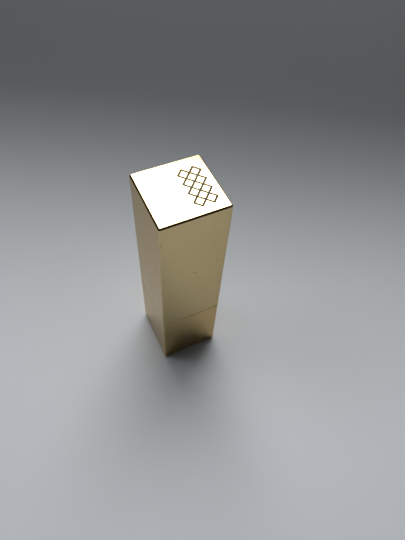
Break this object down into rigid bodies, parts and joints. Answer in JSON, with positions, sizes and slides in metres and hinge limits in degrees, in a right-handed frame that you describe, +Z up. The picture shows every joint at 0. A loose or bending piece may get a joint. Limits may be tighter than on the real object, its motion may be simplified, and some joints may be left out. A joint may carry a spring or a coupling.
{
  "type": "lipstick case",
  "caption": "Square gold twist-up lipstick case with a pull-off cap, a turning sleeve, a rising cup and a bullet of lipstick.",
  "frame": {"origin": "centre of the square foot, on the surface that the case stands on", "axes": "+Z up along the case, from the foot to the top of the cap; X and Y square to its sides, with the top plate's ornament along the +X side"},
  "size_m": [0.02, 0.02, 0.0755],
  "materials": {
    "gold_case": "polished pale gold anodised shell",
    "gold_plate": "mirror-polished pale gold plate",
    "sleeve_metal": "polished gold anodised drawn tube",
    "collar_plastic": "gold metallised moulding",
    "liner_plastic": "natural white moulded polypropylene",
    "mechanism_plastic": "natural white moulded acetal",
    "cup_plastic": "glossy ivory moulded plastic",
    "lipstick": "satin rose-red wax",
    "weight_steel": "zinc-plated steel slug",
    "ring_silicone": "translucent silicone",
    "label_paper": "plain cream paper label with a colour patch and no text"
  },
  "bodies": {
    "base": {"base_shell": "gold_case", "foot_label": "label_paper", "base_weight": "weight_steel", "base_insert": "liner_plastic", "base_collar": "collar_plastic", "guide_tube": "mechanism_plastic", "friction_ring": "ring_silicone"},
    "sleeve": {"outer_sleeve": "sleeve_metal", "spiral_cam": "mechanism_plastic"},
    "carriage": {"cup": "cup_plastic", "bullet": "lipstick"},
    "cap": {"cap_shell": "gold_case", "cap_top_plate": "gold_plate", "cap_liner": "liner_plastic"}
  },
  "joints": [
    {"name": "cap_pull", "type": "slide", "parent": "base", "child": "cap", "axis": [0, 0, 1], "range_m": [0, 0.06]},
    {"name": "sleeve_twist", "type": "hinge", "parent": "base", "child": "sleeve", "pos_m": [0, 0, 0.0504], "axis": [0, 0, -1], "range_deg": [0, 504]},
    {"name": "cup_lift", "type": "slide", "parent": "base", "child": "carriage", "axis": [0, 0, 1], "range_m": [0, 0.028]}
  ],
  "couplings": [
    {"joint": "cup_lift", "follows": "sleeve_twist", "m_per_rad": 0.0031831}
  ]
}
